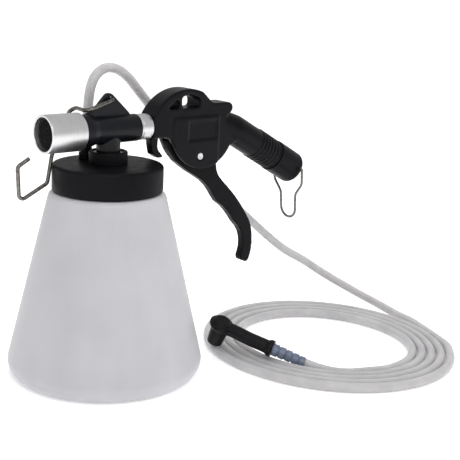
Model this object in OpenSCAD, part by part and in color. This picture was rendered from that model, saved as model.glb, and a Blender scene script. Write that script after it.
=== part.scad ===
// Air-driven brake fluid extractor: a trigger gun blows through a venturi tee on a bottle.
// Origin: centre of the bottle's base. +X: along the venturi and the gun, towards the handle.
// +Z: up. The gun is symmetric about the plane Y = 0.

/* [Bottle] */
// Radius of the bottle at its widest, just above the base
base_r = 66; // [62:0.5:70]
// Radius of the rounded edge between base and wall
base_fillet = 10; // [7:0.5:12]
// Lean of the bottle's wall from vertical, in degrees
wall_lean = 13.55; // [13.2:0.05:13.9]
// Height of the bottle's shoulder
shoulder_z = 126; // [125.5:0.1:126.1]
// Thickness of the bottle's wall
bottle_wall = 1.4; // [1.2:0.1:1.6]
// Radius of the bottle's neck
neck_r = 31; // [30:0.5:31]

/* [Cap] */
// Outer radius of the cap
cap_r = 36.7; // [36.4:0.1:37]
// Height of the cap's lower edge
cap_low = 126.5; // [126.4:0.1:126.8]
// Height of the cap's top face
cap_top = 144; // [143.8:0.1:144.4]
// Distance of the hose fitting behind the cap's centre
fitting_y = 20; // [19.5:0.5:21]

/* [Venturi] */
// Height of the venturi's axis
axis_z = 166.5; // [166:0.1:167]
// Radius of the venturi body
venturi_r = 9.1; // [8.8:0.1:9.3]
// Outer radius of the muffler tube
muffler_r = 12.3; // [12:0.1:12.6]
// Length of the muffler tube
muffler_len = 25.8; // [24:0.2:27]

/* [Gun] */
// Thickness of the gun body
gun_t = 16; // [15.6:0.2:17]
// Thickness of the trigger lever
lever_t = 6.4; // [6:0.2:7]
// Slope of the handle below the horizontal, in degrees
handle_drop = 28.5; // [28.3:0.1:28.7]
// Radius of the handle
handle_r = 10.9; // [10.8:0.1:11.1]
// Radius of the handle's end cap
end_cap_r = 12; // [11.8:0.1:12.2]

/* [Hose] */
// Outer diameter of the hose
hose_d = 6.5; // [6.2:0.1:6.6]
// Mean radius of the coil's outermost turn, to the hose's centre
coil_r = 90.9; // [90.6:0.1:91.1]
// Distance between neighbouring turns of the coil
coil_pitch = 6.5; // [6.45:0.05:6.6]
// Number of turns in the coil
coil_turns = 4.297; // [4.28:0.01:4.31]

/* [Hidden] */
$fn = 48;
round_fn = 72;
black = [0.13, 0.12, 0.14];
milky = [0.88, 0.89, 0.90];
steel = [0.62, 0.60, 0.57];
aluminium = [0.80, 0.80, 0.81];
brass = [0.78, 0.62, 0.32];
rubber = [0.09, 0.09, 0.10];
blue_grey = [0.52, 0.60, 0.68];

// Bottle and cap
base_t = 1.8;
shoulder_fillet = 5;
neck_top = 139.4;
neck_wall = 1.8;
thread_pitch = 4;
thread_h = 1.5;
neck_thread_z = 131.2;
cap_in_r = 33.1;
cap_roof = 2.6;
cap_edge = 2;
stem_bore_r = 5.2;
shank_r = 5;

// Stem between cap and venturi
nut_r = 12.8;
nut_top = 152.6;
stem_r = 7.85;

// Venturi, muffler and collar along X
muffler_x = -49.2;
muffler_wall = 1.5;
muffler_end = muffler_x + muffler_len;
shoulder_r = 10.75;
spigot_r = muffler_r - muffler_wall;
venturi_end = 21.5;
jet_r = 4.9;
collar_r = 8.8;
gun_front = 31;
collar_end = gun_front - 0.2;
tab_t = 3.2;
tab_hole = [0.7, 186.3];
tab_hole_r = 1.75;

// Gun body in the X-Z plane
dome = [61, 157];
dome_r = 34.2;
boss = [75.6, 162.8];
boss_r = 28;
boss_raise = 0.6;
pivot = [72, 144];
pivot_r = 2.5;
slot_t = lever_t + 0.8;
slot_top = 157;
slot_foot = 128;
slot_x = 43;
slot_len = 54.2;
pocket_z = 178;
valve_x = 84;
valve_bore_r = 4.2;
valve_top = 177;
valve_stem_r = 1.6;
valve_flange_r = 3.2;
passage_r = 3;

// Handle, measured along its sloping axis from its origin
handle_at = [109, 0, 159.25];
handle_tilt = 90 + handle_drop;
cap_start = 46;
handle_end = 48.9;
cap_end = 72;
bail_along = 67.3;
spigot_end = 56;
seal_t = 1.2;
thread_depth = 11.5;
cap_lip = 0.8;
inlet_r = 5.9;
bushing_r = 8.5;
skirt_r = handle_r + 0.25;
bail_gap = 15.2;
bail_lean = 5;
wire_r = 0.95;
bail_z = handle_at[2] - bail_along * sin(handle_drop);
bail_x = handle_at[0] + bail_along * cos(handle_drop);

// Wire hook
hook_r = 1.3;

// Hose: route of the free run from the fitting to the coil, then from the coil to the adapter
hose_r = hose_d / 2;
fitting_x = -4;
fitting_top = 158;
coil_at = [160, -60];
coil_start = -8;
coil_long = 105;
coil_oval = 4.3;
coil_oval_loss = 1;
coil_shift = 1.8;
coil_shift_loss = 1.4;
coil_shrink = 2.3;
run_points = [
    [-4, 20, 158], [-4, 20, 166], [-3, 20, 176], [-2, 20, 186], [0, 20, 194], [4.5, 20.3, 200.5],
    [12.5, 21, 204], [23, 22.5, 202.3], [33, 24.5, 196.3], [41, 26, 189], [51, 27.5, 179.4],
    [67, 29, 163.2], [85, 29.5, 145], [105, 28.5, 124.3], [127, 25, 102.6], [151, 20, 81],
    [178.5, 13, 57.6], [201.5, 8, 43.6], [218.5, 1, 31.6], [232.5, -8, 22], [244.3, -18, 13.8],
    [250.7, -30, 8.6], [252.6, -43, 5.4], [252, -56, 3.8], [249.3, -72.5, 3.25]
];
tail_points = [
    [134.3, -115.2, 3.25], [127, -111.4, 3.3], [120.3, -105.6, 3.6], [115.6, -98.6, 4.2],
    [112.8, -91.4, 4.9], [110.8, -84.6, 5.6]
];
adapter_from = [110.8, -84.6, 5.6];
arm_points = [[97, -65.3, 13], [93.2, -57.8, 15.2], [90, -50.6, 16.9], [87.4, -43, 18.7], [84.6, -35, 20.6],
    [81, -28, 21.2]];
head_top = [79.9, -31.1, 27.4];
cup_mouth = [79.4, -23.5, 9.4];

// Points on an arc about c, from angle a0 to angle a1, in n steps
function arc(c, r, a0, a1, n = 8) =
    [for (i = [0:n]) let (a = a0 + (a1 - a0) * i / n) [c[0] + r * cos(a), c[1] + r * sin(a)]];
// An outline whose corners [x, y, radius] are rounded by arcs
function corner(p, i) =
    let (n = len(p), v = [p[i][0], p[i][1]], a = p[(i + n - 1) % n], b = p[(i + 1) % n],
        da = unit([a[0], a[1]] - v), db = unit([b[0], b[1]] - v),
        half = acos(da * db) / 2, c = v + unit(da + db) * p[i][2] / sin(half),
        first = c - v - da * ((c - v) * da), last = c - v - db * ((c - v) * db),
        a0 = atan2(-first[1], -first[0]), a1 = atan2(-last[1], -last[0]),
        turn = a1 - a0 > 180 ? a1 - a0 - 360 : a1 - a0 < -180 ? a1 - a0 + 360 : a1 - a0)
    arc(c, p[i][2], a0, a0 + turn, 4);
function rounded(p) = [for (i = [0:len(p) - 1]) each corner(p, i)];
function unit(v) = v / norm(v);
// Evenly spaced heights of the turns of a thread
function turns(z, n) = [for (i = [0:n - 1]) z + i * thread_pitch];

// Places children so that local +Z runs from one point to another
module aimed(a, b) {
    d = b - a;
    translate(a) rotate([0, acos(d[2] / norm(d)), atan2(d[1], d[0])]) children();
}

// Places children along the handle: local +Z runs down the handle towards the inlet
module on_handle(along = 0) {
    translate(handle_at) rotate([0, handle_tilt, 0]) translate([0, 0, along]) children();
}

// Extrudes an outline drawn in X-Z, centred on the plane Y = 0
module plate(t) {
    translate([0, t / 2, 0]) rotate([90, 0, 0]) linear_extrude(t) children();
}

// A cylinder along X that starts at x on the venturi's axis
module along_x(x, len, r1, r2) {
    translate([x, 0, axis_z]) rotate([0, 90, 0]) cylinder(h = len, r1 = r1, r2 = r2, $fn = round_fn);
}

// Swept tube: one polyhedron along a list of points
function tangent(p, i) = unit(p[min(i + 1, len(p) - 1)] - p[max(i - 1, 0)]);
function side(t) = unit(cross(t, abs(t[2]) > 0.9 ? [0, 1, 0] : [0, 0, 1]));
// The frame is carried from ring to ring, so the tube never twists
function carried(p, i) = i == 0 ? side(tangent(p, 0)) :
    let (t = tangent(p, i), s = carried(p, i - 1)) unit(s - (s * t) * t);
function tube_ring(p, i, r, n, t, s) =
    let (u = cross(t, s)) [for (k = [0:n - 1]) p[i] + r * (cos(360 * k / n) * s + sin(360 * k / n) * u)];
// Points of a smooth curve through the route, two per stretch
function smooth_at(p, i, f) =
    let (a = p[max(i - 1, 0)], b = p[i], c = p[i + 1], d = p[min(i + 2, len(p) - 1)])
    0.5 * (2 * b + (c - a) * f + (2 * a - 5 * b + 4 * c - d) * f * f + (3 * b - a - 3 * c + d) * f * f * f);
function smooth(p) =
    concat([for (i = [0:len(p) - 2]) each [smooth_at(p, i, 0), smooth_at(p, i, 0.5)]], [p[len(p) - 1]]);
module swept(points, r, n = 10) {
    m = len(points);
    rings = [for (i = [0:m - 1]) each tube_ring(points, i, r, n, tangent(points, i), carried(points, i))];
    sides = [for (i = [0:m - 2], k = [0:n - 1])
        [i * n + k, (i + 1) * n + k, (i + 1) * n + (k + 1) % n, i * n + (k + 1) % n]];
    first = [for (k = [0:n - 1]) k];
    last = [for (k = [n - 1:-1:0]) (m - 1) * n + k];
    polyhedron(points = rings, faces = concat(sides, [first], [last]), convexity = 6);
}

// Half profile of one turn of a thread, pointing outwards (grow > 0) or inwards (grow < 0)
function tooth(r, z, grow) = [[r, z - 0.9], [r + grow, z - 0.4], [r + grow, z + 0.4], [r, z + 0.9]];

module bottle() {
    base_c = [base_r - base_fillet, base_fillet];
    wall_from = base_c + base_fillet * [cos(wall_lean), sin(wall_lean)];
    shoulder_cz = shoulder_z - shoulder_fillet;
    tangent_z = shoulder_cz + shoulder_fillet * sin(wall_lean);
    tangent_r = wall_from[0] - (tangent_z - wall_from[1]) * tan(wall_lean);
    shoulder_c = [tangent_r - shoulder_fillet * cos(wall_lean), shoulder_cz];
    outer = concat(
        [[0, 0]],
        arc(base_c, base_fillet, -90, wall_lean, 10),
        arc(shoulder_c, shoulder_fillet, wall_lean, 90, 8),
        [[neck_r, shoulder_z]],
        [for (z = turns(neck_thread_z, 2)) each tooth(neck_r, z, thread_h)],
        [[neck_r, neck_top], [neck_r - neck_wall, neck_top]]
    );
    inner = concat(
        [[neck_r - neck_wall, shoulder_z - bottle_wall]],
        arc(shoulder_c, shoulder_fillet - bottle_wall, 90, wall_lean, 6),
        arc(base_c, base_fillet - base_t, wall_lean, -90, 8),
        [[0, base_t]]
    );
    color(milky) rotate_extrude($fn = 96) polygon(concat(outer, inner));
}

module cap() {
    skirt = concat(
        [[cap_r - 0.5, cap_low], [cap_r, cap_low + 4]],
        arc([cap_r - cap_edge, cap_top - cap_edge], cap_edge, 0, 90, 6),
        [[0, cap_top], [0, cap_top - cap_roof], [cap_in_r, cap_top - cap_roof]],
        [for (z = [neck_thread_z + thread_pitch * 1.5, neck_thread_z + thread_pitch * 0.5])
            each [for (k = [3:-1:0]) tooth(cap_in_r, z, -thread_h)[k]]],
        [[cap_in_r, cap_low]]
    );
    color(black) difference() {
        rotate_extrude($fn = 96) polygon(skirt);
        translate([0, 0, cap_low]) cylinder(h = 20, r = stem_bore_r);
        translate([fitting_x, fitting_y, cap_low]) cylinder(h = 20, r = 3.2);
    }
}

module cap_gasket() {
    roof = cap_top - cap_roof;
    out_r = cap_in_r - 0.1;
    color(rubber) rotate_extrude($fn = 96)
        polygon([[28, neck_top + 0.35], [out_r, neck_top + 0.35], [out_r, roof], [28, roof]]);
}

module stem_nut() {
    rim = 1;
    color(black) rotate_extrude($fn = round_fn) polygon(concat(
        [[stem_r + 0.05, cap_top], [nut_r, cap_top]],
        arc([nut_r - rim, nut_top - rim], rim, 0, 90, 4),
        [[stem_r + 2.6, nut_top], [stem_r + 2.6, nut_top - 2.4], [stem_r + 0.05, nut_top - 2.4]]
    ));
}

module stem_ring() {
    color(steel) rotate_extrude($fn = round_fn) polygon([
        [stem_r + 0.05, nut_top - 2.4], [stem_r + 2.2, nut_top - 2.4],
        [stem_r + 2.2, nut_top - 0.9], [stem_r + 0.05, nut_top - 0.9]
    ]);
}

module stem_locknut() {
    under = cap_top - cap_roof;
    color(black) translate([0, 0, under - 7]) difference() {
        cylinder(h = 5.5, r = 10, $fn = 6);
        translate([0, 0, -1]) cylinder(h = 8, r = shank_r);
    }
}

module stem_seal() {
    under = cap_top - cap_roof;
    color(rubber) rotate_extrude() polygon([
        [shank_r, under - 1.5], [8.5, under - 1.5], [8.5, under], [shank_r, under]
    ]);
}

// The tee: a through passage along X, a branch down into the cap, and a hanging tab on top
module venturi_body() {
    tab_low = axis_z + venturi_r - 1;
    color(black) difference() {
        union() {
            along_x(muffler_end - 10, 10.1, spigot_r, spigot_r);
            along_x(muffler_end, 6.5, shoulder_r, shoulder_r);
            along_x(muffler_end + 6.5, 5, shoulder_r, venturi_r);
            along_x(-12, venturi_end + 12, venturi_r, venturi_r);
            translate([0, 0, cap_top]) cylinder(h = axis_z - cap_top, r = stem_r);
            translate([0, 0, 131]) cylinder(h = 14, r = shank_r);
            plate(tab_t) polygon(concat(
                [[16.6, tab_low], [15.4, 177]],
                arc([-0.6, 186], 4.3, 45, 135, 6),
                [[-9.6, 182.8], [-20.4, 176], [-21, tab_low]]
            ));
        }
        translate([tab_hole[0], 0, tab_hole[1]]) rotate([90, 0, 0])
            cylinder(h = 20, r = tab_hole_r, center = true, $fn = 32);
        along_x(8, 20, jet_r + 0.05, jet_r + 0.05);
        along_x(-10, 19, passage_r, passage_r);
        along_x(muffler_end - 11, 24.5, spigot_r - 2, passage_r);
        translate([0, 0, 130]) cylinder(h = axis_z - 130, r = 2.6);
    }
}

module venturi_jet() {
    color(brass) difference() {
        union() {
            along_x(8, collar_end + 9 - 8, jet_r, jet_r);
            along_x(3, 5, 2, 2.8);
        }
        along_x(2, 12, 0.9, 0.9);
        along_x(12, 40, 3, 3);
    }
}

module muffler_tube() {
    color(aluminium) difference() {
        along_x(muffler_x, muffler_len, muffler_r, muffler_r);
        along_x(muffler_x - 1, muffler_len + 2, spigot_r, spigot_r);
    }
}

// Perforated disc pack that breaks up the exhaust
module muffler_insert() {
    from = muffler_x + 3;
    hole_ring = 6.4;
    color(rubber) difference() {
        along_x(from, muffler_end - 10 - from, spigot_r, spigot_r);
        for (k = [0:5]) {
            translate([0, hole_ring * cos(60 * k), hole_ring * sin(60 * k)])
                along_x(from - 1, muffler_len, 1.2, 1.2);
        }
        along_x(from - 1, muffler_len, 1.2, 1.2);
    }
}

module collar() {
    color(aluminium) difference() {
        along_x(venturi_end, collar_end - venturi_end, collar_r, collar_r);
        along_x(venturi_end - 1, 20, jet_r, jet_r);
    }
}

module gun_outline() {
    polygon(concat(
        [[gun_front, 159]],
        arc(dome, dome_r, 150.4, 68, 18),
        [[82, 181.4], [85, 180.6]],
        arc([97.4, 176.5], 4.1, 90, -65, 8),
        [[95.5, 170], [112, 161], [104, 150]],
        arc(boss, boss_r, -28, -154, 22),
        [[46.5, 157], [44, 159]]
    ));
}

// Hook-shaped leg below the gun's nose
module front_leg() {
    plate(6.6) polygon([
        [32.6, 160], [32.6, 155], [33.2, 151.6], [34.2, 147.6], [37.8, 145.2], [38.8, 144.6], [42.6, 144.6],
        [43.4, 145.8], [41.4, 147.6], [39.4, 149.8], [38.5, 152.4], [38.9, 160]
    ]);
}

module handle_shape() {
    rib_from = 23;
    rib_step = 3.5;
    rotate_extrude($fn = round_fn) polygon(concat(
        [[0, -20], [gun_t / 2 - 0.6, -20], [handle_r - 0.5, -4], [handle_r - 0.1, -1], [handle_r, 3]],
        [for (k = [0:6]) each let (z = rib_from + k * rib_step)
            [[handle_r, z], [handle_r + 0.7, z + 0.5], [handle_r + 0.7, z + 1.3], [handle_r, z + 1.8]]],
        [[handle_r, cap_start - 1], [handle_r - 0.3, cap_start], [handle_r - 0.3, handle_end],
            [bushing_r, handle_end], [bushing_r, spigot_end], [0, spigot_end]]
    ));
}

module pocket(outline) {
    plate(gun_t + 4) polygon(rounded(outline));
}

// One moulding: dome, boss with a lever slot, thumb horn, front leg and handle
module gun_body() {
    panel = [61, 155, 26, 14];
    panel_depth = 0.9;
    color(black) difference() {
        union() {
            plate(gun_t) gun_outline();
            front_leg();
            plate(gun_t + 2 * boss_raise) intersection() {
                gun_outline();
                translate(boss) circle(r = boss_r, $fn = 96);
                translate([40, 120]) square([48.5, 51.5]);
            }
            on_handle() handle_shape();
        }
        translate([slot_x, -slot_t / 2, slot_foot]) cube([slot_len, slot_t, slot_top - slot_foot]);
        translate([pivot[0], 0, pivot[1]]) rotate([90, 0, 0])
            cylinder(h = 30, r = pivot_r, center = true);
        pocket([[43.2, pocket_z, 0.8], [52.6, pocket_z, 2], [53, 184.9, 2], [48.3, 183, 3]]);
        pocket([[55.6, pocket_z, 2], [71.4, pocket_z, 2.4], [71.2, 184.6, 3.2], [62, 187.4, 4],
            [54.8, 185.8, 2.4]]);
        for (s = [-1, 1]) {
            translate([panel[0], s * (gun_t / 2 + boss_raise), panel[1]])
                translate([0, -panel_depth, 0]) cube([panel[2], 2 * panel_depth, panel[3]]);
        }
        translate([valve_x, 0, slot_top - 1]) cylinder(h = valve_top - slot_top + 1, r = valve_bore_r);
        along_x(gun_front - 1, valve_x - gun_front + 1, passage_r, passage_r);
        along_x(gun_front - 1, 10.05, jet_r + 0.05, jet_r + 0.05);
        on_handle(-20) cylinder(h = 90, r = passage_r);
    }
}

// Lever outline: nose, wavy finger edge, turned-up tip, smooth back edge, and the part in the slot
module trigger_lever() {
    color(black) difference() {
        plate(lever_t) polygon([
            [48.4, 155.8], [47.4, 152.8], [48.1, 149.4], [51.2, 145], [54.5, 141], [59.9, 137],
            [66, 132.8], [73.4, 128.5], [80.3, 124.2], [85.1, 120], [88.6, 115.9], [91.3, 111.9],
            [94.7, 107.6], [100.7, 103.3], [105.3, 98.9], [109, 94.7], [112.3, 90.4], [116.8, 85.9],
            [119.7, 81.7], [121.2, 77.6], [121.9, 73.5], [121.9, 69.6], [120.9, 65.8], [119.8, 62.4],
            [120.6, 59.6], [126.1, 57.2], [128.4, 59], [129.6, 62], [130.7, 65.8], [131.3, 71.5],
            [131, 77.5], [130.3, 81.5], [129.3, 85.6], [127.4, 89.7], [124.7, 93.9], [118.6, 102.4],
            [111.5, 110.8], [102.9, 119.2], [98.3, 123.4], [94.6, 127.5], [92.8, 131.3], [92, 136],
            [88.6, 140.4], [84, 141.4], [78, 144.5], [75, 149.6], [68, 152.4], [60, 154.4], [51, 156.2]
        ]);
        translate([pivot[0], 0, pivot[1]]) rotate([90, 0, 0])
            cylinder(h = 30, r = pivot_r + 0.05, center = true);
    }
}

module pivot_pin() {
    color(steel) translate([pivot[0], 0, pivot[1]]) rotate([90, 0, 0])
        cylinder(h = gun_t + 2 * boss_raise + 0.5, r = pivot_r, center = true);
}

// Valve: the lever lifts the stem, whose seal opens the passage
module valve_sleeve() {
    color(brass) translate([valve_x, 0, slot_top]) difference() {
        cylinder(h = 6, r = valve_bore_r);
        translate([0, 0, -1]) cylinder(h = 8, r = valve_stem_r + 0.05);
    }
}

module valve_stem() {
    stem_low = 143.5;
    stem_high = 168;
    color(brass) translate([valve_x, 0, 0]) {
        translate([0, 0, stem_low]) cylinder(h = stem_high - stem_low, r = valve_stem_r);
        translate([0, 0, stem_low]) sphere(r = valve_stem_r);
        translate([0, 0, slot_top + 6.6]) cylinder(h = 1.6, r = valve_flange_r);
    }
}

module valve_seal() {
    color(rubber) translate([valve_x, 0, slot_top + 6]) rotate_extrude()
        polygon([[valve_stem_r, 0.02], [valve_flange_r, 0.02], [valve_flange_r, 0.6], [valve_stem_r, 0.6]]);
}

module valve_spring() {
    wire_d = 0.5;
    coil_mean = 2.6;
    low = 165.3;
    high = 174.9;
    n = 6;
    color(steel) for (k = [0:n - 1]) {
        translate([valve_x, 0, low + wire_d / 2 + k * (high - low - wire_d) / (n - 1)])
            rotate_extrude() translate([coil_mean, 0]) circle(d = wire_d, $fn = 16);
    }
}

module valve_plug() {
    color(brass) translate([valve_x, 0, 175]) cylinder(h = valve_top - 175, r = valve_bore_r);
}

module end_cap() {
    color(black) on_handle() difference() {
        rotate_extrude($fn = round_fn) polygon(concat(
            [[bushing_r + 0.05, handle_end + 0.1], [skirt_r, handle_end + 0.1], [skirt_r, cap_start]],
            arc([end_cap_r - 0.4, cap_start + 0.4], 0.4, -90, 0, 3),
            arc([end_cap_r - 2.6, cap_end - 2.6], 2.6, 0, 90, 6),
            [[7.6, cap_end], [7.6, cap_end - cap_lip], [bushing_r + 0.05, cap_end - cap_lip]]
        ));
        translate([0, 0, bail_along]) rotate([90, 0, 0]) cylinder(h = 40, r = wire_r + 0.05, center = true);
    }
}

// Threaded air inlet
module inlet_bushing() {
    color(brass) on_handle() difference() {
        translate([0, 0, spigot_end + seal_t])
            cylinder(h = cap_end - cap_lip - spigot_end - seal_t, r = bushing_r);
        translate([0, 0, cap_end - cap_lip - thread_depth]) cylinder(h = 20, r = inlet_r);
        translate([0, 0, spigot_end]) cylinder(h = 10, r = passage_r);
    }
}

module inlet_seal() {
    color(rubber) on_handle() rotate_extrude()
        translate([0, spigot_end])
            polygon([[passage_r, 0], [bushing_r, 0], [bushing_r, seal_t], [passage_r, seal_t]]);
}

// Wire loop that swings from two holes in the end cap
module bail() {
    pin_in = end_cap_r - 1.6;
    loop_r = 7.7;
    loop_z = -33.2;
    half = concat(
        [[0, pin_in, 0], [0, bail_gap - 0.8, 0], [0, bail_gap, -1], [0, bail_gap - 0.3, -14.5],
            [0, bail_gap - 1.8, -17.5], [0, 9.4, -24], [0, 8.2, -27], [0, loop_r, loop_z]],
        [for (a = [-18:-18:-90]) [0, loop_r * cos(a), loop_z + loop_r * sin(a)]]
    );
    far = [for (i = [len(half) - 2:-1:0]) [0, -half[i][1], half[i][2]]];
    color(steel) translate([bail_x, 0, bail_z]) rotate([0, -bail_lean, 0]) swept(concat(half, far), wire_r);
}

// Hanging hook: through the tab's hole, over the muffler, down behind it, and up again
module hook() {
    color(steel) swept(smooth([
        [tab_hole[0], 3.4, tab_hole[1]], [tab_hole[0], -3.2, tab_hole[1]], [-1.2, -4.2, 185.9],
        [-10, -4.2, 183.6], [-15.6, -3.2, 181], [-18.8, 0.5, 179.2], [-18.4, 6, 179.2],
        [-17.8, 11, 179.6], [-19, 13.6, 178.6], [-21.2, 14.6, 175.6], [-24, 15, 170.4],
        [-28.6, 15, 160.5], [-33, 15, 151.2], [-34.8, 15, 143.4], [-36.6, 15, 134.4],
        [-38.6, 15, 131], [-46, 15, 127], [-54.8, 15, 122.6], [-57, 15, 124], [-57.6, 15, 132.6],
        [-58.2, 15, 142.2], [-56.8, 15, 145.4], [-50, 15, 149.1]
    ]), hook_r);
}

module hose_fitting() {
    color(black) translate([fitting_x, fitting_y, 0]) difference() {
        union() {
            translate([0, 0, cap_top]) cylinder(h = 4.5, r = 5.6, $fn = 6);
            translate([0, 0, cap_top + 4.5]) cylinder(h = 5, r1 = 4.4, r2 = 3.6);
            translate([0, 0, cap_top + 9.5]) cylinder(h = fitting_top - cap_top - 9.5, r = 3.4);
            translate([0, 0, 130]) cylinder(h = 14, r = 3.15);
        }
        translate([0, 0, 129]) cylinder(h = 40, r = 1.5);
    }
}

module fitting_locknut() {
    under = cap_top - cap_roof;
    color(black) translate([fitting_x, fitting_y, under - 4]) difference() {
        cylinder(h = 3.9, r = 5.6, $fn = 6);
        translate([0, 0, -1]) cylinder(h = 6, r = 3.15);
    }
}

// Tube inside the bottle that lets the fluid run down from the fitting
module drop_tube() {
    color(milky) translate([fitting_x, fitting_y, 36]) difference() {
        cylinder(h = 96, r = 4.2);
        translate([0, 0, -1]) cylinder(h = 95.5, r = 3.15);
        translate([0, 0, 93]) cylinder(h = 4, r = 3.15);
    }
}

module hose_run() {
    color(milky) swept(smooth(run_points), hose_r);
}

// Distance of the hose's centre from the coil's, at an angle, for a turn counted from the outside
function coil_radius(angle, turn) =
    let (f = turn / coil_turns, w = angle - coil_long)
    coil_r - coil_shrink * f + (coil_oval - coil_oval_loss * f) * cos(2 * w)
    + (coil_shift - coil_shift_loss * f) * cos(w) - coil_pitch * turn;
coil_steps = 72;
// How far along the coil its innermost hose is, k steps round from the coil's start
function inner_turn(k) =
    let (part = k / coil_steps)
    floor(coil_turns) + part <= coil_turns ? floor(coil_turns) + part : floor(coil_turns) - 1 + part;
// The coil's outermost or innermost hose seen from above, moved sideways by grow
function coil_outline(inside, grow) =
    [for (k = [0:coil_steps - 1])
        let (a = coil_start - 360 * k / coil_steps,
             rr = coil_radius(a, inside ? inner_turn(k) : k / coil_steps) + grow)
        coil_at + rr * [cos(a), sin(a)]];

module hose_coil() {
    inset = 0.1;
    color(milky) translate([0, 0, inset]) linear_extrude(hose_d - 2 * inset) difference() {
        polygon(coil_outline(false, hose_r));
        polygon(coil_outline(true, -hose_r));
    }
}

module hose_tail() {
    color(milky) swept(smooth(tail_points), hose_r);
}

// Ribbed adapter between the hose and the rubber elbow
module hose_adapter() {
    len = norm(arm_points[0] - adapter_from);
    ribs = 5;
    step = len / ribs;
    taper = 0.16;
    color(blue_grey) aimed(adapter_from, arm_points[0]) rotate_extrude() polygon(concat(
        [[0, 0]],
        [for (k = [0:ribs - 1]) each [[3.1 + k * taper, k * step], [3.7 + k * taper, k * step + 0.5],
            [3.6 + k * taper, (k + 1) * step - 0.8], [3 + k * taper, (k + 1) * step - 0.3]]],
        [[3.6, len], [0, len]]
    ));
}

// Right-angled rubber elbow: a curved arm with a flared end, and a head with a flange and a nipple cup
module elbow() {
    len = norm(cup_mouth - head_top);
    flare = 1.2;
    color(rubber) difference() {
        union() {
            swept(smooth(arm_points), 4.9, 16);
            aimed(arm_points[0], arm_points[1])
                rotate_extrude() polygon([[0, -0.2], [4.9 + flare, -0.2], [4.9 + flare, 2.2], [4.7, 4.6], [0, 4.6]]);
            aimed(head_top, cup_mouth) rotate_extrude() polygon([
                [0, -0.9], [5.6, -0.9], [5.9, 0], [6.7, 0], [7, 0.4], [7, 1.5], [8.3, 1.5], [8.8, 2],
                [8.8, 4.2], [8.3, 4.8], [7.2, 5.4], [6.6, 7], [5.9, len - 3], [5.6, len], [0, len]
            ]);
        }
        aimed(cup_mouth, 2 * cup_mouth - head_top) translate([0, 0, -10]) cylinder(h = 11, r = 4);
    }
}

bottle();
cap();
cap_gasket();
stem_nut();
stem_ring();
stem_locknut();
stem_seal();
venturi_body();
venturi_jet();
muffler_tube();
muffler_insert();
collar();
gun_body();
trigger_lever();
pivot_pin();
valve_sleeve();
valve_stem();
valve_seal();
valve_spring();
valve_plug();
end_cap();
inlet_bushing();
inlet_seal();
bail();
hook();
hose_fitting();
fitting_locknut();
drop_tube();
hose_run();
hose_coil();
hose_tail();
hose_adapter();
elbow();
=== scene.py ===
import math

import bmesh
import bpy
import numpy as np
from mathutils import Matrix, Vector


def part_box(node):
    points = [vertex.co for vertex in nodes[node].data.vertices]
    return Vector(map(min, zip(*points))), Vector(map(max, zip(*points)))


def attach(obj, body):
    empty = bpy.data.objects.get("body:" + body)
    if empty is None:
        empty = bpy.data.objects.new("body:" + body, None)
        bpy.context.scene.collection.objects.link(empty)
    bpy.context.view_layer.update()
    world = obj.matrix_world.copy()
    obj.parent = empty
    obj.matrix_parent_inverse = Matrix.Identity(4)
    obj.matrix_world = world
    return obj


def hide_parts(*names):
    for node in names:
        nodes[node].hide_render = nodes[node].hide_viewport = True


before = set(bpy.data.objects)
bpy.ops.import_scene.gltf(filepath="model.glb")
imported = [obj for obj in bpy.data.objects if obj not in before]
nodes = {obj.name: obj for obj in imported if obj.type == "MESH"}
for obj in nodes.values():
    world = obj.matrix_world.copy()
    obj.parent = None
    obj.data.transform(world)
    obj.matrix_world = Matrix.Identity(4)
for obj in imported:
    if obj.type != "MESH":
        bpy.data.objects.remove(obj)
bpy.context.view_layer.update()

MM = 0.001
scene = bpy.context.scene
scene.view_settings.view_transform = "Standard"


def mm(*p):
    return Vector(p) * MM


# ---------------------------------------------------------------- camera
CAMERA_AT = mm(-369.1, -528.7, 266.6)
CAMERA_HEADING = Vector((0.6722, 0.7404, 0.0)).normalized()
CAMERA_PITCH = math.radians(14.38)
CAMERA_ROLL = math.radians(2.645)
CAMERA_LENS = 77.34

look = CAMERA_HEADING * math.cos(CAMERA_PITCH) - Vector((0, 0, math.sin(CAMERA_PITCH)))
right = look.cross(Vector((0, 0, 1))).normalized()
up = right.cross(look)
turn = Matrix((right, up, -look)).transposed() @ Matrix.Rotation(CAMERA_ROLL, 3, "Z")
cam_data = bpy.data.cameras.new("camera")
cam_data.lens = CAMERA_LENS
cam_data.sensor_width = 36
cam_data.clip_start = 0.01
cam = bpy.data.objects.new("camera", cam_data)
cam.matrix_world = Matrix.Translation(CAMERA_AT) @ turn.to_4x4()
scene.collection.objects.link(cam)
scene.camera = cam


# ---------------------------------------------------------------- mesh helpers
def link(name, mesh):
    obj = bpy.data.objects.new(name, mesh)
    scene.collection.objects.link(obj)
    return obj


def shade_smooth(mesh, angle=35):
    mesh.polygons.foreach_set("use_smooth", [True] * len(mesh.polygons))
    mesh.set_sharp_from_angle(angle=math.radians(angle))
    mesh.update()


def finish_piece(obj, body, slot, material, *replaced):
    obj.data.materials.clear()
    obj.data.materials.append(material)
    if replaced:
        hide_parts(*replaced)
    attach(obj, body)


def catmull(points, per):
    """Points of a smooth curve through the given ones."""
    p = [Vector(q) for q in points]
    out = []
    for i in range(len(p) - 1):
        a, b, c, d = p[max(i - 1, 0)], p[i], p[i + 1], p[min(i + 2, len(p) - 1)]
        for k in range(per):
            f = k / per
            out.append(0.5 * (2 * b + (c - a) * f + (2 * a - 5 * b + 4 * c - d) * f * f
                              + (3 * b - a - 3 * c + d) * f ** 3))
    out.append(p[-1])
    return out


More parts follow.
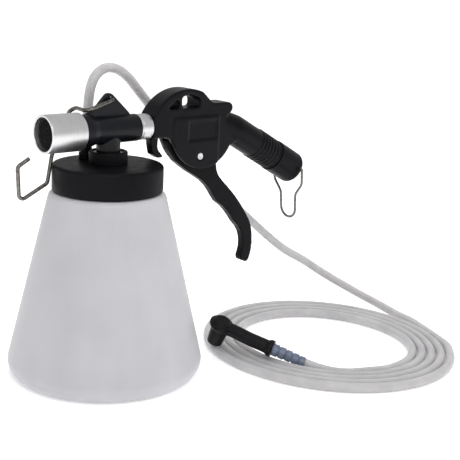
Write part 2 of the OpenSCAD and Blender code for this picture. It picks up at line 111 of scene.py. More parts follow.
def bent(corners, steps=8, stretch=2.0):
    """The centreline, in metres, of a wire with straight runs between its bends.

    Each corner is (x, y, z, bend radius) in mm, and stretch is the longest step between points.
    """
    p = [Vector(c[:3]) for c in corners]
    out = [p[0]]
    for i in range(1, len(p) - 1):
        a, b, rad = p[i - 1] - p[i], p[i + 1] - p[i], corners[i][3]
        half = a.angle(b) / 2
        if rad <= 0 or half > math.radians(89.5):
            out.append(p[i])
            continue
        reach = min(rad / math.tan(half), 0.49 * a.length, 0.49 * b.length)
        rad = reach * math.tan(half)
        centre = p[i] + (a.normalized() + b.normalized()).normalized() * rad / math.sin(half)
        u = (p[i] + a.normalized() * reach - centre).normalized()
        v = (p[i] + b.normalized() * reach - centre).normalized()
        out += [centre + rad * u.slerp(v, k / steps) for k in range(steps + 1)]
    out.append(p[-1])
    fine = [out[0]]
    for a, b in zip(out, out[1:]):
        n = max(1, round((b - a).length / stretch))
        fine += [a.lerp(b, k / n) for k in range(1, n + 1) if (b - a).length > 1e-4]
    return [MM * q for q in fine]


def tube(name, points, r, sides, cap=0.3):
    """A closed tube of radius r along the points, with ends rounded by cap of its radius."""
    bm = bmesh.new()
    n = len(points)
    normal = None
    rings = []

    def ring(centre, t, r):
        nonlocal normal
        if normal is None:
            normal = t.cross(Vector((0, 0, 1)) if abs(t.z) < 0.9 else Vector((0, 1, 0))).normalized()
        normal = (normal - t * normal.dot(t)).normalized()
        b = t.cross(normal)
        return [bm.verts.new(centre + r * (math.cos(a) * normal + math.sin(a) * b))
                for a in (2 * math.pi * k / sides for k in range(sides))]

    for i, p in enumerate(points):
        t = (points[min(i + 1, n - 1)] - points[max(i - 1, 0)]).normalized()
        if i == 0:
            rings += [ring(p, t, r * (1 - cap)), ring(p + t * r * cap * 0.3, t, r * (1 - cap * 0.3)),
                      ring(p + t * r * cap, t, r)]
        elif i == n - 1:
            rings += [ring(p - t * r * cap, t, r), ring(p - t * r * cap * 0.3, t, r * (1 - cap * 0.3)),
                      ring(p, t, r * (1 - cap))]
        elif (p - points[0]).length > r * cap * 1.5 and (p - points[-1]).length > r * cap * 1.5:
            rings.append(ring(p, t, r))
    for u, v in zip(rings, rings[1:]):
        for k in range(sides):
            bm.faces.new((u[k], u[(k + 1) % sides], v[(k + 1) % sides], v[k]))
    bm.faces.new(list(reversed(rings[0])))
    bm.faces.new(rings[-1])
    mesh = bpy.data.meshes.new(name)
    bmesh.ops.recalc_face_normals(bm, faces=bm.faces)
    bm.to_mesh(mesh)
    bm.free()
    shade_smooth(mesh, 50)
    return link(name, mesh)


def fillet(profile, steps=5):
    """A closed profile of (r, z, radius of the corner) as a finer list of (r, z)."""
    n = len(profile)
    out = []
    for i, (x, y, rad) in enumerate(profile):
        v = Vector((x, y))
        a = Vector(profile[i - 1][:2]) - v
        b = Vector(profile[(i + 1) % n][:2]) - v
        if rad <= 0 or a.length < 1e-9 or b.length < 1e-9:
            out.append(v)
            continue
        half = a.angle(b) / 2
        reach = min(rad / math.tan(half), 0.48 * a.length, 0.48 * b.length)
        rad = reach * math.tan(half)
        mid = (a.normalized() + b.normalized()).normalized()
        centre = v + mid * rad / math.sin(half)
        start, end = v + a.normalized() * reach - centre, v + b.normalized() * reach - centre
        sweep = start.angle_signed(end)
        for k in range(steps + 1):
            f = sweep * k / steps
            c, s = math.cos(-f), math.sin(-f)
            out.append(centre + Vector((start.x * c - start.y * s, start.x * s + start.y * c)))
    return out


def lathe(name, profile, place=Matrix.Identity(4), steps=96, shape=None, angle=35):
    """Turns a closed profile of (r, z) in mm about Z, then moves it. shape(r, z, a) may shift a point."""
    bm = bmesh.new()
    loops = []
    for x, z in profile:
        if x < 1e-6:
            loops.append([bm.verts.new(place @ mm(0, 0, z))])
            continue
        loop = []
        for k in range(steps):
            a = 2 * math.pi * k / steps
            r, h = (x, z) if shape is None else shape(x, z, a)
            loop.append(bm.verts.new(place @ mm(r * math.cos(a), r * math.sin(a), h)))
        loops.append(loop)
    for u, v in zip(loops, loops[1:] + loops[:1]):
        for k in range(steps):
            j = (k + 1) % steps
            if len(u) == 1 and len(v) == 1:
                break
            if len(u) == 1:
                bm.faces.new((u[0], v[k], v[j]))
            elif len(v) == 1:
                bm.faces.new((u[k], v[0], u[j]))
            else:
                bm.faces.new((u[k], v[k], v[j], u[j]))
    bmesh.ops.recalc_face_normals(bm, faces=bm.faces)
    mesh = bpy.data.meshes.new(name)
    bm.to_mesh(mesh)
    bm.free()
    shade_smooth(mesh, angle)
    return link(name, mesh)


def relax(mesh, rounds, weight=None):
    """Rounds edges off as a moulding's fillets are: each point moves towards its neighbours' mean."""
    n = len(mesh.vertices)
    co = np.empty(n * 3)
    mesh.vertices.foreach_get("co", co)
    co = co.reshape(-1, 3)
    edges = np.empty(len(mesh.edges) * 2, dtype=np.int64)
    mesh.edges.foreach_get("vertices", edges)
    a, b = edges.reshape(-1, 2).T
    count = np.bincount(a, minlength=n) + np.bincount(b, minlength=n)
    w = np.full(n, 0.5) if weight is None else 0.5 * weight(co / MM)
    for _ in range(rounds):
        mean = np.stack([np.bincount(a, co[b, k], n) + np.bincount(b, co[a, k], n) for k in range(3)], 1)
        co = co + w[:, None] * (mean / count[:, None] - co)
    mesh.vertices.foreach_set("co", co.ravel())
    mesh.update()


def moulded(name, node, voxel, rounds, weight=None):
    """A finely meshed copy of a CAD node with softly rounded edges. voxel is in mm."""
    bm = bmesh.new()
    bm.from_mesh(nodes[node].data)
    mesh = bpy.data.meshes.new(name)
    bm.to_mesh(mesh)
    bm.free()
    obj = link(name, mesh)
    step = obj.modifiers.new("voxels", "REMESH")
    step.mode = "VOXEL"
    step.voxel_size = voxel * MM
    bake(obj)
    relax(obj.data, rounds, weight)
    shade_smooth(obj.data, 60)
    return obj


def bake(obj):
    """Applies the object's modifiers."""
    deps = bpy.context.evaluated_depsgraph_get()
    mesh = bpy.data.meshes.new_from_object(obj.evaluated_get(deps))
    mesh.name = obj.name
    obj.modifiers.clear()
    old = obj.data
    obj.data = mesh
    bpy.data.meshes.remove(old)


def axis_frame(origin, direction):
    """A place whose Z runs along direction, in mm."""
    return Matrix.Translation(mm(*origin)) @ Vector(direction).to_track_quat("Z", "Y").to_matrix().to_4x4()


# ---------------------------------------------------------------- hose route
HOSE_R = 3.25
# Points in mm: from the cap over the arch to the floor, then from the coil up to the adapter
RUN = [
    (-4, 20, 158), (-4, 20, 166), (-3, 20, 176), (-2, 20, 186), (0, 20, 194), (4.5, 20.3, 200.5),
    (12.5, 21, 204), (23, 22.5, 202.3), (33, 24.5, 196.3), (41, 26, 189), (51, 27.5, 179.4),
    (67, 29, 163.2), (85, 29.5, 145), (105, 28.5, 124.3), (127, 25, 102.6), (151, 20, 81),
    (178.5, 13, 57.6), (201.5, 8, 43.6), (218.5, 1, 31.6), (232.5, -8, 22), (244.3, -18, 13.8),
    (250.7, -30, 8.6), (252.6, -43, 5.4), (252, -56, 3.8), (249.3, -72.5, 3.25),
]
TAIL = [
    (134.3, -115.2, 3.25), (127, -111.4, 3.3), (120.3, -105.6, 3.6), (115.6, -98.6, 4.2),
    (112.8, -91.4, 4.9), (110.8, -84.6, 5.6),
]
COIL_AT = (160, -60)
COIL_TURNS = 4.297
COIL_R, COIL_SHRINK = 90.9, 2.3
COIL_OVAL, COIL_OVAL_LOSS = 4.3, 1
COIL_SHIFT, COIL_SHIFT_LOSS = 1.8, 1.4
COIL_PITCH = 2 * HOSE_R
COIL_FROM = math.radians(-8)
COIL_LONG = math.radians(105)
TURN_POINTS = 36
FIRST_POINT = 3
CURVE_STEPS = 4


def coil_radius(angle, turn):
    """The coil is a little oval and off centre, less so towards its inside."""
    f, w = turn / COIL_TURNS, angle - COIL_LONG
    oval = (COIL_OVAL - COIL_OVAL_LOSS * f) * math.cos(2 * w)
    shift = (COIL_SHIFT - COIL_SHIFT_LOSS * f) * math.cos(w)
    return COIL_R - COIL_SHRINK * f + oval + shift - COIL_PITCH * turn


coil = []
for i in range(FIRST_POINT, int(COIL_TURNS * TURN_POINTS)):
    turned = i / TURN_POINTS
    a = COIL_FROM - 2 * math.pi * turned
    r = coil_radius(a, turned)
    coil.append((COIL_AT[0] + r * math.cos(a), COIL_AT[1] + r * math.sin(a), HOSE_R))
route = catmull([mm(*p) for p in RUN + coil + TAIL], CURVE_STEPS)


# ---------------------------------------------------------------- materials
class Shader:
    """A short way to build a material from nodes."""

    def __init__(self, name):
        self.mat = bpy.data.materials.new(name)
        self.mat.use_nodes = True
        self.tree = self.mat.node_tree
        self.out = self.tree.nodes["Material Output"]
        self.bsdf = self.tree.nodes["Principled BSDF"]
        self.co = self.add("ShaderNodeTexCoord").outputs["Object"]

    def add(self, kind, **values):
        node = self.tree.nodes.new(kind)
        for key, value in values.items():
            if hasattr(node, key) and key not in node.inputs:
                setattr(node, key, value)
            else:
                self.put(node.inputs[key.replace("_", " ")], value)
        return node

    def put(self, socket, value):
        if isinstance(value, bpy.types.NodeSocket):
            self.tree.links.new(value, socket)
        else:
            socket.default_value = value

    def set(self, **values):
        for key, value in values.items():
            self.put(self.bsdf.inputs[key.replace("_", " ")], value)

    def mapped(self, scale):
        node = self.add("ShaderNodeMapping", Vector=self.co)
        node.inputs["Scale"].default_value = scale
        return node.outputs[0]

    def noise(self, scale, detail=3.0, rough=0.5, vector=None, distort=0.0):
        node = self.add("ShaderNodeTexNoise", Vector=vector or self.co, Scale=scale, Detail=detail,
                        Roughness=rough, Distortion=distort)
        return node.outputs[0]

    def remap(self, value, lo, hi, a=0.0, b=1.0):
        node = self.add("ShaderNodeMapRange", Value=value)
        for key, v in zip(("From Min", "From Max", "To Min", "To Max"), (lo, hi, a, b)):
            node.inputs[key].default_value = v
        return node.outputs[0]

    def math(self, op, a, b=0.0):
        node = self.add("ShaderNodeMath", operation=op)
        self.put(node.inputs[0], a)
        self.put(node.inputs[1], b)
        return node.outputs[0]

    def mix(self, factor, a, b):
        node = self.add("ShaderNodeMix", data_type="RGBA")
        self.put(node.inputs[0], factor)
        self.put(node.inputs[6], a)
        self.put(node.inputs[7], b)
        return node.outputs[2]

    def bump(self, height, strength, distance, normal=None):
        node = self.add("ShaderNodeBump", Strength=strength, Distance=distance * MM, Height=height)
        if normal is not None:
            self.put(node.inputs["Normal"], normal)
        return node.outputs[0]

    def worn(self, lo=0.52, hi=0.62):
        """1 along convex edges, 0 elsewhere."""
        return self.remap(self.add("ShaderNodeNewGeometry").outputs["Pointiness"], lo, hi)


def rgb(r, g, b):
    """Linear colour from 0-255 display values."""
    return tuple((v / 255 / 12.92 if v <= 10 else ((v / 255 + 0.055) / 1.055) ** 2.4)
                 for v in (r, g, b)) + (1,)


def black_plastic(name, base, lighter, rough, grain=1400, grain_depth=0.03, specular=0.09, wear=0.35):
    """Moulded black plastic: fine spark grain, flow marks that change the gloss, and rubbed edges."""
    s = Shader(name)
    flow = s.noise(28, 2, 0.5, distort=0.6)
    patch = s.noise(140, 4, 0.6)
    tone = s.math("MULTIPLY", s.remap(flow, 0.35, 0.65), 0.5)
    tone = s.math("ADD", tone, s.math("MULTIPLY", s.worn(), wear))
    colour = s.mix(tone, base, lighter)
    gloss = s.math("ADD", s.remap(patch, 0.3, 0.7, rough - 0.05, rough + 0.05),
                   s.remap(flow, 0.3, 0.7, -0.03, 0.03))
    fine = s.noise(grain, 2, 0.6)
    normal = s.bump(fine, 0.5, grain_depth)
    normal = s.bump(patch, 0.25, grain_depth * 2, normal)
    s.set(Base_Color=colour, Roughness=gloss, Normal=normal, Specular_IOR_Level=specular)
    return s.mat


def bottle_plastic():
    """Blow-moulded polyethylene: milky, slightly uneven wall, faint vertical draw lines."""
    s = Shader("bottle_plastic")
    cloud = s.noise(26, 2, 0.5)
    lines = s.noise(60, 3, 0.6, s.mapped((1, 1, 0.04)))
    tone = s.math("ADD", s.math("MULTIPLY", s.remap(cloud, 0.3, 0.7), 0.6),
                  s.math("MULTIPLY", s.remap(lines, 0.3, 0.7), 0.4))
    colour = s.mix(tone, rgb(186, 185, 190), rgb(196, 195, 199))
    normal = s.bump(s.noise(700, 3, 0.6), 0.35, 0.03)
    normal = s.bump(lines, 0.3, 0.15, normal)
    normal = s.bump(cloud, 0.3, 0.4, normal)
    s.set(Base_Color=colour, Roughness=s.remap(lines, 0.3, 0.7, 0.42, 0.5), Normal=normal,
          Subsurface_Weight=1.0, Subsurface_Scale=0.004, IOR=1.5)
    s.bsdf.inputs["Subsurface Radius"].default_value = (1.0, 1.0, 1.05)
    return s.mat


def hose_plastic():
    """Milky silicone hose: soft gloss, cloudy along its length."""
    s = Shader("hose_plastic")
    cloud = s.noise(90, 3, 0.55)
    colour = s.mix(s.remap(cloud, 0.3, 0.7), rgb(168, 167, 169), rgb(180, 179, 180))
    normal = s.bump(s.noise(900, 2, 0.5), 0.3, 0.02)
    s.set(Base_Color=colour, Roughness=s.remap(cloud, 0.3, 0.7, 0.3, 0.4), Normal=normal,
          Subsurface_Weight=1.0, Subsurface_Scale=0.012, IOR=1.42)
    s.bsdf.inputs["Subsurface Radius"].default_value = (1.0, 0.97, 0.95)
    return s.mat


def turned_metal(name, colour, dark, rough):
    """Metal turned about the X axis: fine rings round it, with small tone changes along it."""
    s = Shader(name)
    along_x = s.mapped((1, 0.02, 0.02))
    rings = s.noise(5200, 2, 0.7, along_x)
    broad = s.noise(420, 2, 0.5, along_x)
    smudge = s.noise(45, 3, 0.6)
    tone = s.math("ADD", s.math("MULTIPLY", s.remap(rings, 0.3, 0.7), 0.6),
                  s.math("MULTIPLY", s.remap(broad, 0.3, 0.7), 0.12))
    tone = s.math("ADD", tone, s.math("MULTIPLY", s.remap(smudge, 0.35, 0.65), 0.25))
    s.set(Base_Color=s.mix(tone, dark, colour), Metallic=1.0,
          Roughness=s.math("ADD", s.remap(rings, 0.3, 0.7, rough - 0.05, rough + 0.05),
                           s.remap(smudge, 0.35, 0.65, 0, 0.05)),
          Normal=s.bump(rings, 0.6, 0.012))
    return s.mat


def drawn_wire():
    """Zinc-plated spring wire: faint mottling and a satin shine."""
    s = Shader("drawn_wire")
    spot = s.noise(500, 4, 0.6)
    fine = s.noise(2600, 2, 0.6)
    s.set(Base_Color=s.mix(s.remap(spot, 0.35, 0.65), rgb(92, 88, 85), rgb(140, 136, 132)), Metallic=1.0,
          Roughness=s.remap(spot, 0.35, 0.65, 0.26, 0.4), Normal=s.bump(fine, 0.5, 0.02))
    return s.mat


def plain_metal(name, a, b, rough):
    """Unfinished metal with dull spots."""
    s = Shader(name)
    spot = s.noise(380, 4, 0.6)
    s.set(Base_Color=s.mix(s.remap(spot, 0.35, 0.65), a, b), Metallic=1.0,
          Roughness=s.remap(spot, 0.35, 0.65, rough, rough + 0.14), Normal=s.bump(spot, 0.3, 0.02))
    return s.mat


def rubber(name, a, b, rough=0.55):
    """Dull black rubber with a faint bloom."""
    s = Shader(name)
    fine = s.noise(1500, 3, 0.65)
    bloom = s.noise(70, 4, 0.6)
    s.set(Base_Color=s.mix(s.remap(bloom, 0.35, 0.65), a, b),
          Roughness=s.remap(bloom, 0.35, 0.65, rough - 0.06, rough + 0.06),
          Normal=s.bump(fine, 0.6, 0.04), Specular_IOR_Level=0.2)
    return s.mat


def foam():
    """Open-cell pad: a net of struts, with painted shade darkening its pits."""
    s = Shader("foam")
    cells = s.add("ShaderNodeTexVoronoi", Vector=s.co, Scale=900.0).outputs["Distance"]
    # the dark end of this tone, following the cell pattern, is painted shade for the pits between the
    # struts
    pit_shade = s.remap(cells, 0.1, 0.6)
    s.set(Base_Color=s.mix(pit_shade, rgb(22, 22, 24), rgb(5, 5, 6)), Roughness=0.9,
          Normal=s.bump(cells, 1.0, 0.3))
    return s.mat


def adapter_plastic():
    """Blue-grey plastic that lets a little light in."""
    s = Shader("adapter_plastic")
    cloud = s.noise(160, 3, 0.55)
    s.set(Base_Color=s.mix(s.remap(cloud, 0.3, 0.7), rgb(88, 98, 118), rgb(120, 130, 150)),
          Roughness=s.remap(cloud, 0.3, 0.7, 0.3, 0.42), Normal=s.bump(s.noise(900, 2), 0.3, 0.02),
          Subsurface_Weight=0.5, Subsurface_Scale=0.0015)
    return s.mat


M_GUN = black_plastic("gun_plastic", rgb(8, 7, 11), rgb(24, 22, 28), 0.32, specular=0.12)
M_LEVER = black_plastic("lever_plastic", rgb(8, 7, 10), rgb(24, 22, 27), 0.38)
M_CAP = black_plastic("cap_plastic", rgb(9, 8, 11), rgb(24, 23, 27), 0.46, grain=1000, grain_depth=0.05)
M_VENTURI = black_plastic("venturi_plastic", rgb(7, 8, 12), rgb(24, 26, 34), 0.34, specular=0.24)
M_END = black_plastic("end_cap_plastic", rgb(8, 7, 10), rgb(24, 22, 27), 0.34)
M_BOTTLE = bottle_plastic()
M_HOSE = hose_plastic()
M_ALU = turned_metal("turned_aluminium", rgb(240, 240, 240), rgb(208, 208, 210), 0.32)
M_WIRE = drawn_wire()
M_PIN = plain_metal("pin_steel", rgb(200, 200, 202), rgb(232, 232, 234), 0.25)
M_BRASS = plain_metal("machined_brass", rgb(188, 150, 84), rgb(222, 186, 116), 0.28)
M_RUBBER = rubber("seal_rubber", rgb(20, 20, 21), rgb(38, 38, 40))
M_ELBOW = rubber("elbow_rubber", rgb(10, 9, 11), rgb(22, 21, 24), 0.5)
M_FOAM = foam()
M_NET = rubber("net_black", rgb(5, 5, 6), rgb(15, 15, 17), 0.5)
M_ADAPTER = adapter_plastic()

# ---------------------------------------------------------------- hose
HOSE_SIDES = 20
hose = tube("hose", route, HOSE_R * MM, HOSE_SIDES)
finish_piece(hose, "head", "hose_clear", M_HOSE, "hose_run", "hose_coil", "hose_tail")

ADAPTER_FROM = Vector((110.8, -84.6, 5.6))
ARM_FROM = Vector((97, -65.3, 13))
RIBS, RIB_TAPER = 5, 0.16
along = ARM_FROM - ADAPTER_FROM
step = along.length / RIBS
profile = [(0, 0, 0), (2.9, 0, 0.3)]
for k in range(RIBS):
    z, wide = k * step, k * RIB_TAPER
    profile += [(3.1 + wide, z + 0.1, 0.2), (3.85 + wide, z + 0.6, 0.3),
                (3.65 + wide, z + step - 0.9, 0.4), (3.0 + wide, z + step - 0.35, 0.3)]
profile += [(3.6, along.length, 0.2), (0, along.length, 0)]
adapter = lathe("hose_adapter_barb", fillet(profile, 3), axis_frame(ADAPTER_FROM, along), 48)
finish_piece(adapter, "head", "adapter_plastic", M_ADAPTER, "hose_adapter")

elbow = moulded("elbow_boot", "elbow", 0.28, 5)
finish_piece(elbow, "head", "elbow_rubber", M_ELBOW, "elbow")


# ---------------------------------------------------------------- bottle, on its own body
BASE_R, BASE_CORNER, BASE_INNER = 66, 10, 8.2
WALL_LEAN = math.radians(13.55)
SHOULDER_Z, SHOULDER_CORNER, SHOULDER_INNER = 126, 5, 3.6
NECK_R, NECK_BORE, LIP_Z = 31, 29.2, 139.4
THREAD_Z = (131.2, 135.2)
SEAM_AT, SEAM_WIDTH, SEAM_HEIGHT = 0.35, 0.006, 0.18
SAG = 0.12
SEAM_FROM, SEAM_TO = 2, 125


def arc(r, z, corner, start, end, steps):
    """Points of a round corner about (r, z)."""
    return [(r + corner * math.cos(a), z + corner * math.sin(a)) for a in np.linspace(start, end, steps)]


def bottle_profile():
    """The bottle's outline with a foot ring, a neck thread and a rolled lip, as (r, z) in mm."""
    down, level = -math.pi / 2, math.pi / 2
    base_mid = BASE_R - BASE_CORNER
    out = [(0, 1.1), (44, 1.1), (47, 0.8), (50, 0.15), (52, 0)]
    out += arc(base_mid, BASE_CORNER, BASE_CORNER, down, WALL_LEAN, 20)
    foot_r, foot_z = out[-1]
    mid_z = SHOULDER_Z - SHOULDER_CORNER
    top_z = mid_z + SHOULDER_CORNER * math.sin(WALL_LEAN)
    top_r = foot_r - (top_z - foot_z) * math.tan(WALL_LEAN)
    mid_r = top_r - SHOULDER_CORNER * math.cos(WALL_LEAN)
    out += [(foot_r + (top_r - foot_r) * f, foot_z + (top_z - foot_z) * f)
            for f in np.linspace(0.05, 0.95, 19)]
    out += arc(mid_r, mid_z, SHOULDER_CORNER, WALL_LEAN, level, 12)
    out += [(NECK_R + 0.6, SHOULDER_Z), (NECK_R + 0.1, SHOULDER_Z + 0.4), (NECK_R, SHOULDER_Z + 1)]
    for z in THREAD_Z:
        out += [(NECK_R, z - 0.9), (NECK_R + 1.3, z - 0.45), (NECK_R + 1.5, z), (NECK_R + 1.3, z + 0.45),
                (NECK_R, z + 0.9)]
    out += [(NECK_R, LIP_Z - 0.4), (NECK_R - 0.4, LIP_Z), (NECK_BORE + 0.4, LIP_Z),
            (NECK_BORE, LIP_Z - 0.4), (NECK_BORE, 125.4), (NECK_BORE + 0.4, 124.7)]
    out += arc(mid_r, mid_z, SHOULDER_INNER, level, WALL_LEAN, 8)
    out += arc(base_mid, BASE_CORNER, BASE_INNER, WALL_LEAN, down, 12)
    out += [(50, 2.1), (44, 2.9), (0, 2.9)]
    return out


def bottle_shape(r, z, a):
    """A fine raised mould seam down two sides, and a wall that isn't perfectly round."""
    if not (SEAM_FROM < z < SEAM_TO and r > 29.5):
        return r, z
    seam = SEAM_HEIGHT * math.exp(-(math.sin(a - SEAM_AT) / SEAM_WIDTH) ** 2) if r > 30 else 0
    sag = SAG * math.sin(2 * a + z * 0.02) * math.sin(min(max(z / SHOULDER_Z, 0), 1) * math.pi)
    return r + seam + sag, z


bottle = lathe("bottle_shell", bottle_profile(), steps=256, shape=bottle_shape, angle=40)
finish_piece(bottle, "bottle", "bottle_hdpe", M_BOTTLE, "bottle")

# ---------------------------------------------------------------- cap and stem
CAP_R = (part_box("cap")[1][0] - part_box("cap")[0][0]) / 2 / MM
CAP_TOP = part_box("cap")[1][2] / MM
CAP_FOOT, CAP_ROOF = 126.5, CAP_TOP - 2.6
CAP_BORE, CAP_THREAD_R, STEM_HOLE = 33.1, 31.7, 5.2
cap_profile = fillet([
    (CAP_R - 0.6, CAP_FOOT, 0.3), (CAP_R, CAP_FOOT + 1.1, 0.4), (CAP_R, CAP_TOP, 2.0),
    (STEM_HOLE, CAP_TOP, 0.3), (STEM_HOLE, CAP_ROOF, 0.2), (CAP_BORE, CAP_ROOF, 0.4),
    (CAP_BORE, 138.2, 0), (CAP_THREAD_R, 137.6, 0), (CAP_THREAD_R, 136.8, 0), (CAP_BORE, 136.3, 0),
    (CAP_BORE, 134.2, 0), (CAP_THREAD_R, 133.6, 0), (CAP_THREAD_R, 132.8, 0), (CAP_BORE, 132.3, 0),
    (CAP_BORE, CAP_FOOT, 0.4),
], 6)
cap = lathe("cap_shell", cap_profile, steps=192)
finish_piece(cap, "head", "cap_black", M_CAP, "cap")

NUT_R = (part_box("stem_nut")[1][0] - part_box("stem_nut")[0][0]) / 2 / MM
NUT_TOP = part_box("stem_nut")[1][2] / MM
NUT_BORE, RECESS_R, RECESS_Z = 7.9, 10.6, NUT_TOP - 2.4
nut = lathe("stem_collar", fillet([
    (NUT_BORE, CAP_TOP, 0), (NUT_R, CAP_TOP, 0.2), (NUT_R, NUT_TOP, 0.9), (RECESS_R, NUT_TOP, 0.3),
    (RECESS_R, RECESS_Z, 0.2), (NUT_BORE, RECESS_Z, 0)], 5), steps=96)
finish_piece(nut, "head", "cap_black", M_CAP, "stem_nut")

# ---------------------------------------------------------------- venturi, muffler and collar
AXIS_Z = 166.5
ALONG_X = Matrix.Translation(mm(0, 0, AXIS_Z)) @ Matrix.Rotation(math.pi / 2, 4, "Y")
venturi = moulded("venturi_tee", "venturi_body", 0.35, 6)
finish_piece(venturi, "head", "venturi_black", M_VENTURI, "venturi_body")

MUFFLER_BORE, MUFFLER_R, MUFFLER_MOUTH, MUFFLER_END = 10.85, 12.3, -49.2, -23.4
muffler = lathe("muffler_sleeve", fillet([
    (MUFFLER_BORE, MUFFLER_MOUTH, 0.25), (MUFFLER_R, MUFFLER_MOUTH, 0.35),
    (MUFFLER_R, MUFFLER_END, 0.3), (MUFFLER_BORE, MUFFLER_END, 0.1)], 4), ALONG_X, 128)
finish_piece(muffler, "head", "aluminium", M_ALU, "muffler_tube")

PLUG_R, PLUG_LIP, PLUG_DISH, PLUG_BACK = 10.75, -46.2, -41.5, -33.5
plug = lathe("muffler_plug", fillet([
    (0, PLUG_DISH, 0), (8.2, PLUG_DISH, 1.5), (9.6, -46.0, 0.4), (PLUG_R, PLUG_LIP, 0.2),
    (PLUG_R, PLUG_BACK, 0.3), (0, PLUG_BACK, 0)], 5), ALONG_X, 72)
finish_piece(plug, "head", "foam", M_FOAM, "muffler_insert")


def net(name, x, radius, cell, wire, dome=0.5):
    """A round wire net across the X axis, bulging by dome at its middle, all in mm."""
    n = int(radius / cell)
    bm = bmesh.new()
    grid = {}
    for i in range(-n, n + 1):
        for j in range(-n, n + 1):
            if math.hypot(i, j) * cell <= radius:
                bulge = dome * (1 - (math.hypot(i, j) * cell / radius) ** 2)
                grid[i, j] = bm.verts.new(mm(x - bulge, i * cell, AXIS_Z + j * cell))
    for (i, j), v in grid.items():
        corners = [grid.get(k) for k in ((i, j), (i + 1, j), (i + 1, j + 1), (i, j + 1))]
        if None not in corners:
            bm.faces.new(corners)
    bmesh.ops.delete(bm, geom=[v for v in bm.verts if not v.link_faces], context="VERTS")
    mesh = bpy.data.meshes.new(name)
    bm.to_mesh(mesh)
    bm.free()
    obj = link(name, mesh)
    wires = obj.modifiers.new("wires", "WIREFRAME")
    wires.thickness = wire * MM
    bake(obj)
    shade_smooth(obj.data, 50)
    return obj


screen = net("muffler_net", x=-45.4, radius=9.9, cell=1.15, wire=0.4)
finish_piece(screen, "head", "foam", M_NET)

COLLAR_BORE, COLLAR_R, GROOVE_R, COLLAR_FROM, COLLAR_TO = 4.95, 8.8, 8.55, 21.5, 30.8
collar = lathe("collar_ring", fillet([
    (COLLAR_BORE, COLLAR_FROM, 0.1), (COLLAR_R, COLLAR_FROM, 0.3), (COLLAR_R, 22.4, 0.1),
    (GROOVE_R, 22.6, 0.1), (GROOVE_R, 23.0, 0.1), (COLLAR_R, 23.2, 0.1), (COLLAR_R, COLLAR_TO, 0.4),
    (COLLAR_BORE, COLLAR_TO, 0.1)], 3), ALONG_X, 96)
finish_piece(collar, "head", "aluminium", M_ALU, "collar")

# ---------------------------------------------------------------- gun
HANDLE_AT = Vector((109, 0, 159.25))
HANDLE_DROP = math.radians(28.5)
HANDLE_DIR = Vector((math.cos(HANDLE_DROP), 0, -math.sin(HANDLE_DROP)))


def gun_weight(co):
    """Edges round fully on the body, and less on the handle's ribs and lip."""
    t = (co[:, 0] - HANDLE_AT.x) * HANDLE_DIR.x + (co[:, 2] - HANDLE_AT.z) * HANDLE_DIR.z
    return np.clip(1 - (t - 6) / 10, 0.12, 1)


gun = moulded("gun_shell", "gun_body", 0.45, 12, gun_weight)
finish_piece(gun, "head", "gun_black", M_GUN, "gun_body")

lever = moulded("lever_shell", "trigger_lever", 0.4, 12)
finish_piece(lever, "trigger", "gun_black", M_LEVER, "trigger_lever")

end_cap = moulded("end_cap_shell", "end_cap", 0.3, 4)
finish_piece(end_cap, "head", "end_cap_black", M_END, "end_cap")

pin_lo, pin_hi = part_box("pivot_pin")
PIN_HALF = (pin_hi[1] - pin_lo[1]) / 2 / MM
PIN_R, PIN_DIMPLE = 2.45, PIN_HALF - 0.25
PIVOT = Matrix.Translation(mm(72, 0, 144)) @ Matrix.Rotation(math.pi / 2, 4, "X")
pin = lathe("pivot_rivet", fillet([
    (0, -PIN_DIMPLE, 0), (1.1, -PIN_DIMPLE, 0.2), (1.5, -PIN_HALF, 0.3), (PIN_R, -PIN_HALF, 0.5),
    (PIN_R, PIN_HALF, 0.5), (1.5, PIN_HALF, 0.3), (1.1, PIN_DIMPLE, 0.2), (0, PIN_DIMPLE, 0)], 4),
    PIVOT, 40)
finish_piece(pin, "head", "pin_steel", M_PIN, "pivot_pin")

# ---------------------------------------------------------------- wires
BAIL_ALONG = 67.3
BAIL_AT = HANDLE_AT + HANDLE_DIR * BAIL_ALONG
LOOP_R, LOOP_Z, BAIL_LEAN, BAIL_WIRE_R = 7.7, -33.2, math.radians(5), 0.95
# (y, z, bend radius) from the pin hole to the loop
BAIL_HALF = [(10.4, 0, 0), (15.2, 0, 1.6), (14.95, -12.5, 7), (7.9, -21.5, 7)]
loop = [(LOOP_R * math.cos(a), LOOP_Z + LOOP_R * math.sin(a))
        for a in (math.radians(-9 * k) for k in range(21))]
outline = [(0, y, z, bend) for y, z, bend in BAIL_HALF] + [(0, y, z, 0) for y, z in loop]
outline += [(0, -y, z, bend) for y, z, bend in reversed(BAIL_HALF)]
place = Matrix.Translation(BAIL_AT) @ Matrix.Rotation(-BAIL_LEAN, 4, "Y")
bail = tube("bail_wire", bent([(*(place @ Vector(p[:3])), p[3]) for p in outline]), BAIL_WIRE_R * MM, 16)
finish_piece(bail, "bail", "steel_wire", M_WIRE, "bail")

HOOK_WIRE_R = 1.3
# (x, y, z, bend radius) from the tab's hole to the tip
HOOK = [
    (0.7, 3.4, 186.3, 0), (0.7, -4.2, 186.3, 2.2), (-19.6, -4.2, 180, 5), (-17.4, 12.6, 180, 4),
    (-20.4, 15, 177.6, 4), (-33.6, 15, 149.6, 12), (-37, 15, 131.8, 3.5), (-57.6, 15, 121.8, 3),
    (-58.6, 15, 144.4, 3), (-50, 15, 149.1, 0),
]
hook = tube("hook_wire", bent(HOOK), HOOK_WIRE_R * MM, 18)
finish_piece(hook, "hook", "steel_wire", M_WIRE, "hook")

# ---------------------------------------------------------------- hose fitting
fitting = moulded("fitting_shell", "hose_fitting", 0.25, 3)
finish_piece(fitting, "head", "cap_black", M_CAP, "hose_fitting")

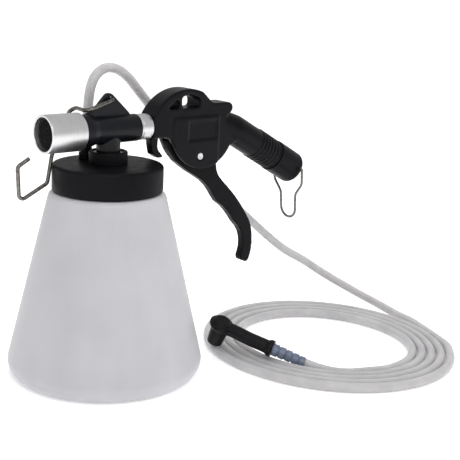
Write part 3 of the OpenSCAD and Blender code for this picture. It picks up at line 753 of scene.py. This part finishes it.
# ---------------------------------------------------------------- CAD nodes that stay
for node, material in {
    "cap_gasket": M_RUBBER, "stem_ring": M_WIRE, "stem_locknut": M_CAP, "stem_seal": M_RUBBER,
    "venturi_jet": M_BRASS, "valve_sleeve": M_BRASS, "valve_stem": M_BRASS,
    "valve_seal": M_RUBBER, "valve_spring": M_PIN, "valve_plug": M_BRASS, "inlet_bushing": M_BRASS,
    "inlet_seal": M_RUBBER, "fitting_locknut": M_CAP, "drop_tube": M_HOSE,
}.items():
    mesh = nodes[node].data
    if not mesh.materials:
        mesh.materials.append(material)
    for slot_at in nodes[node].material_slots:
        slot_at.link = "OBJECT"
        slot_at.material = material

# ---------------------------------------------------------------- floor and light
FLOOR_HALF = 20.0
floor_mesh = bpy.data.meshes.new("floor")
floor_mesh.from_pydata([(-FLOOR_HALF, -FLOOR_HALF, 0), (FLOOR_HALF, -FLOOR_HALF, 0),
                        (FLOOR_HALF, FLOOR_HALF, 0), (-FLOOR_HALF, FLOOR_HALF, 0)], [], [(0, 1, 2, 3)])
floor = link("floor", floor_mesh)
s = Shader("floor_paper")
s.set(Base_Color=s.mix(s.noise(3), rgb(248, 248, 248), rgb(252, 252, 252)), Roughness=0.9,
      Emission_Color=(1, 1, 1, 1), Emission_Strength=0.3)
floor_mesh.materials.append(s.mat)

world = bpy.data.worlds.new("studio")
scene.world = world
world.use_nodes = True
world.node_tree.nodes["Background"].inputs["Color"].default_value = (1.0, 1.0, 1.0, 1)
world.node_tree.nodes["Background"].inputs["Strength"].default_value = 0.55


def softbox(name, at, target, size, power, mirrored=True):
    data = bpy.data.lights.new(name, "AREA")
    data.shape = "RECTANGLE"
    data.size, data.size_y = size
    data.energy = power
    obj = bpy.data.objects.new(name, data)
    obj.visible_glossy = mirrored
    obj.location = at
    obj.rotation_euler = (Vector(target) - Vector(at)).to_track_quat("-Z", "Y").to_euler()
    scene.collection.objects.link(obj)


sun_data = bpy.data.lights.new("overhead", "SUN")
sun_data.energy = 1.1
sun_data.angle = math.radians(80)
sun = bpy.data.objects.new("overhead", sun_data)
sun.visible_glossy = False
sun.rotation_euler = (math.radians(12), math.radians(10), 0)
scene.collection.objects.link(sun)
TARGET = (0.06, 0, 0.1)
softbox("key", (-0.35, -0.6, 0.75), TARGET, (0.35, 0.35), 2.5)
softbox("rim", (0.45, 0.55, 0.75), TARGET, (0.5, 0.3), 2.5, mirrored=False)
